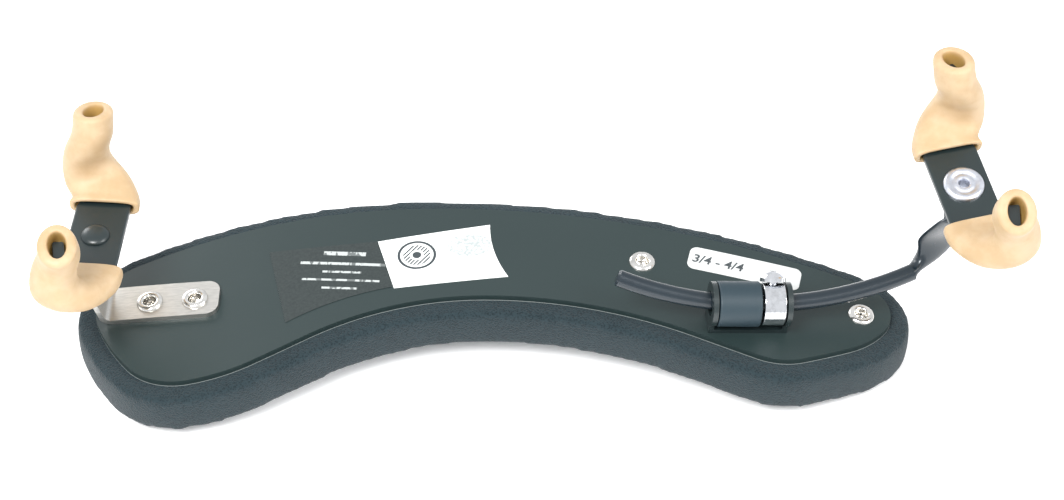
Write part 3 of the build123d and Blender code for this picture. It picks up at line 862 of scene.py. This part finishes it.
# ---------------------------------------------------------------- metal
@dataclass
class Hardware:
    """The hollow rivets and the forks' two pivot rivets."""

    bore: float = 1.5
    rim: float = 3.15
    plate_eyelets: tuple[tuple[float, float], ...] = ((25.6, 8.98), (77.0, -4.02))
    bracket_eyelets: tuple[tuple[float, float], ...] = ((-90.6, -1.62), (-79.9, -1.72))
    bracket_lift: float = 1.2
    grip: float = 1.52
    wall: float = 0.45
    foot: float = 1.2
    fork_top: float = 1.75
    shank: float = 2.0
    pivot_foot: float = 3.1

    def _eyelet(self, grip: float) -> bmesh.types.BMesh:
        """Rolled rim and flared foot of one hollow rivet, seat at Z = 0."""
        b, r = self.bore, self.rim
        barrel, foot = b + self.wall, b + self.foot
        return lathe([(b, -grip - self.wall), (b, 0.3), (b + 0.08, 0.5), (b + 0.3, 0.7), (b + 0.7, 0.8),
                      (r - 0.45, 0.68), (r - 0.12, 0.4), (r, 0.12), (r, 0.0), (barrel, 0.0),
                      (barrel, -grip), (foot, -grip), (foot, -grip - self.wall), (b, -grip - self.wall)])

    def _split_foot(self, grip: float) -> bmesh.types.BMesh:
        """Floor of the bore, folded into leaves."""
        return lathe([(0.0, -grip * 0.95), (0.35, -grip * 0.92), (0.8, -grip * 0.8), (1.25, -grip * 0.88),
                      (self.bore, -grip * 0.97), (self.bore, -grip), (0.0, -grip)], 8)

    def _eyelets(self, name: str, node: str, places: Sequence[tuple[float, float]], lift: float) -> None:
        """Makes one group of hollow rivets."""
        bm = bmesh.new()
        for x, y in places:
            for part in (self._eyelet(self.grip + lift), self._split_foot(self.grip + lift)):
                part.transform(ARCH.at(x, y, lift))
                mesh = bpy.data.meshes.new("part")
                part.to_mesh(mesh)
                part.free()
                bm.from_mesh(mesh)
                bpy.data.meshes.remove(mesh)
        mount(finished(bm, name, Look.NICKEL, 50.0), "plate", "plated_rivet", node)

    def _pivots(self) -> None:
        """Makes the black domed rivet and the bright ringed rivet of the forks."""
        seat, shank, foot = self.fork_top, self.shank, self.pivot_foot
        dome = lathe([(0, 2.85), (1.5, 2.8), (2.5, 2.62), (3.05, 2.3), (3.3, 1.9), (3.3, seat),
                      (shank, seat), (shank, -1.7), (foot, -1.7), (foot, -2.45), (0, -2.55)])
        dome.transform(LEFT.frame)
        dome = finished(dome, "left_domed_rivet", Look.BLACK, 40.0)
        mount(dome, "plate", "black_steel", "left_pivot_rivet")
        ring = lathe([(1.2, -3.5), (1.2, 2.2), (1.35, 2.5), (1.7, 2.62), (2.2, 2.55), (2.45, 2.4),
                      (2.75, 2.4), (3.1, 2.62), (3.6, 2.78), (4.1, 2.7), (4.5, 2.42), (4.72, 2.05),
                      (4.72, seat), (shank, seat), (shank, -2.75), (foot, -2.75), (foot, -3.5), (1.2, -3.5)])
        ring.transform(RIGHT.frame)
        ring = finished(ring, "right_ringed_rivet", Look.ZINC, 40.0)
        mount(ring, "rod", "plated_rivet", "right_pivot_rivet")

    def build(self) -> None:
        """Makes every rivet."""
        self._eyelets("plate_hollow_rivets", "plate_eyelets", self.plate_eyelets, 0.0)
        self._eyelets("bracket_hollow_rivets", "bracket_eyelets", self.bracket_eyelets, self.bracket_lift)
        self._pivots()


@dataclass
class Dress:
    """Finishes of the nodes that keep their own shape."""

    looks: dict[str, Look] = field(default_factory=lambda: {
        "base_plate": Look.PLATE, "mounting_tape": Look.TAPE, "maker_label": Look.FOIL,
        "white_label": Look.PICTURE, "size_label": Look.LABEL, "left_bracket": Look.STEEL,
        "left_washer": Look.STEEL, "right_washer": Look.STEEL, "left_fork": Look.BLACK,
        "right_fork": Look.BLACK, "clamp_saddle": Look.BLACK, "saddle_rivets": Look.NICKEL,
        "clamp_barrel": Look.BARREL, "clamp_collar": Look.CHROME, "clamp_screw": Look.CHROME,
        "height_rod": Look.ROD, "foam_pad": Look.FOAM, "plate_eyelets": Look.NICKEL,
        "bracket_eyelets": Look.NICKEL, "left_pivot_rivet": Look.BLACK, "right_pivot_rivet": Look.ZINC,
        "left_far_tube": Look.LATEX, "left_near_tube": Look.LATEX, "right_far_tube": Look.LATEX,
        "right_near_tube": Look.LATEX,
    })

    def apply(self, nodes: dict[str, bpy.types.Object]) -> None:
        """Gives every CAD node its finish.

        Args:
            nodes: the frame's objects by name.
        """
        for name, obj in nodes.items():
            obj.data.materials.clear()
            obj.data.materials.append(self.looks[name].material())
            log.info("%s dressed as %s", name, self.looks[name].name)


@dataclass
class SizeNumbers:
    """The plain size fractions printed on the rounded label."""

    text: str = "3/4 - 4/4"
    height: float = 3.6
    x: float = 43.6
    y: float = 9.6
    yaw: float = -12.5
    lift: float = 0.13

    def build(self) -> None:
        """Makes the numbers as a thin mesh laid flat on the arch's top face."""
        curve = bpy.data.curves.new("size_numbers", "FONT")
        curve.body = self.text
        curve.size = self.height * MM
        curve.align_x = "CENTER"
        curve.align_y = "CENTER"
        curve.shear = 0.12
        curve.extrude = 0.00001
        curve.offset = 0.00007
        holder = bpy.data.objects.new("size_numbers_text", curve)
        bpy.context.scene.collection.objects.link(holder)
        bpy.context.view_layer.update()
        mesh = bpy.data.meshes.new_from_object(holder.evaluated_get(bpy.context.evaluated_depsgraph_get()))
        bpy.data.objects.remove(holder)
        bm = bmesh.new()
        bm.from_mesh(mesh)
        bpy.data.meshes.remove(mesh)
        bm.transform(ARCH.at(self.x, self.y, self.lift, self.yaw))
        mount(finished(bm, "size_numbers", Look.INK, 40.0, False), "plate", "white_label")


# ---------------------------------------------------------------- studio
@dataclass
class Studio:
    """Pale floor, soft lights and the camera."""

    elevation: float = 46.0
    distance: float = 620.0
    target: Triple = (-0.6, 11.28, 20.0)
    lens: float = 88.1
    floor_glow: float = 0.15
    sky: Colour = (0.95, 0.97, 1.0)
    sky_strength: float = 0.9
    lights: tuple[tuple[str, Triple, float, float], ...] = (
        ("key", (-300.0, -420.0, 760.0), 420.0, 10.0),
        ("fill", (560.0, -260.0, 560.0), 460.0, 4.0),
        ("back", (-500.0, 700.0, 300.0), 420.0, 2.0),
    )

    def build(self) -> None:
        """Makes the floor, the lights, the world and the camera."""
        bm = bmesh.new()
        bmesh.ops.create_grid(bm, x_segments=2, y_segments=2, size=3.0)
        floor = finished(bm, "floor", Look.LABEL, flip=False)
        graph = Graph("studio_floor")
        tone = graph.noise(graph.place(), 3.0, 2.0, 0.5)
        floor.data.materials[0] = graph.done(
            Base_Color=graph.blend(tone, (0.93, 0.93, 0.93), (0.96, 0.96, 0.96)),
            Emission_Color=(1.0, 1.0, 1.0), Emission_Strength=self.floor_glow, Roughness=0.9)
        target = Vector(self.target) * MM
        for name, place, size, power in self.lights:
            lamp = bpy.data.lights.new(name, "AREA")
            lamp.shape = "DISK"
            lamp.size = size * MM
            lamp.energy = power
            holder = bpy.data.objects.new(name, lamp)
            bpy.context.scene.collection.objects.link(holder)
            holder.location = Vector(place) * MM
            holder.rotation_euler = (target - holder.location).to_track_quat("-Z", "Y").to_euler()
        world = bpy.data.worlds.new("studio_world")
        world.use_nodes = True
        background = world.node_tree.nodes["Background"]
        background.inputs[0].default_value = (*self.sky, 1.0)
        background.inputs[1].default_value = self.sky_strength
        bpy.context.scene.world = world
        bpy.context.scene.view_settings.view_transform = "Standard"
        camera = bpy.data.cameras.new("camera")
        camera.lens = self.lens
        camera.sensor_width = 36.0
        camera.clip_start = 0.01
        holder = bpy.data.objects.new("camera", camera)
        bpy.context.scene.collection.objects.link(holder)
        rise = radians(self.elevation)
        holder.location = target + Vector((0, -cos(rise), sin(rise))) * self.distance * MM
        holder.rotation_euler = (target - holder.location).to_track_quat("-Z", "Y").to_euler()
        bpy.context.scene.camera = holder


def main() -> None:
    """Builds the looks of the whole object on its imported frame."""
    logging.basicConfig(level=logging.INFO, format="%(name)s: %(message)s")
    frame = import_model()
    Dress().apply(frame["nodes"])
    FoamPad().build()
    for seat in (LEFT, RIGHT):
        for reach in Reach:
            RubberTube(seat, reach).build()
    Hardware().build()
    SizeNumbers().build()
    Studio().build()


if __name__ == "__main__":
    main()
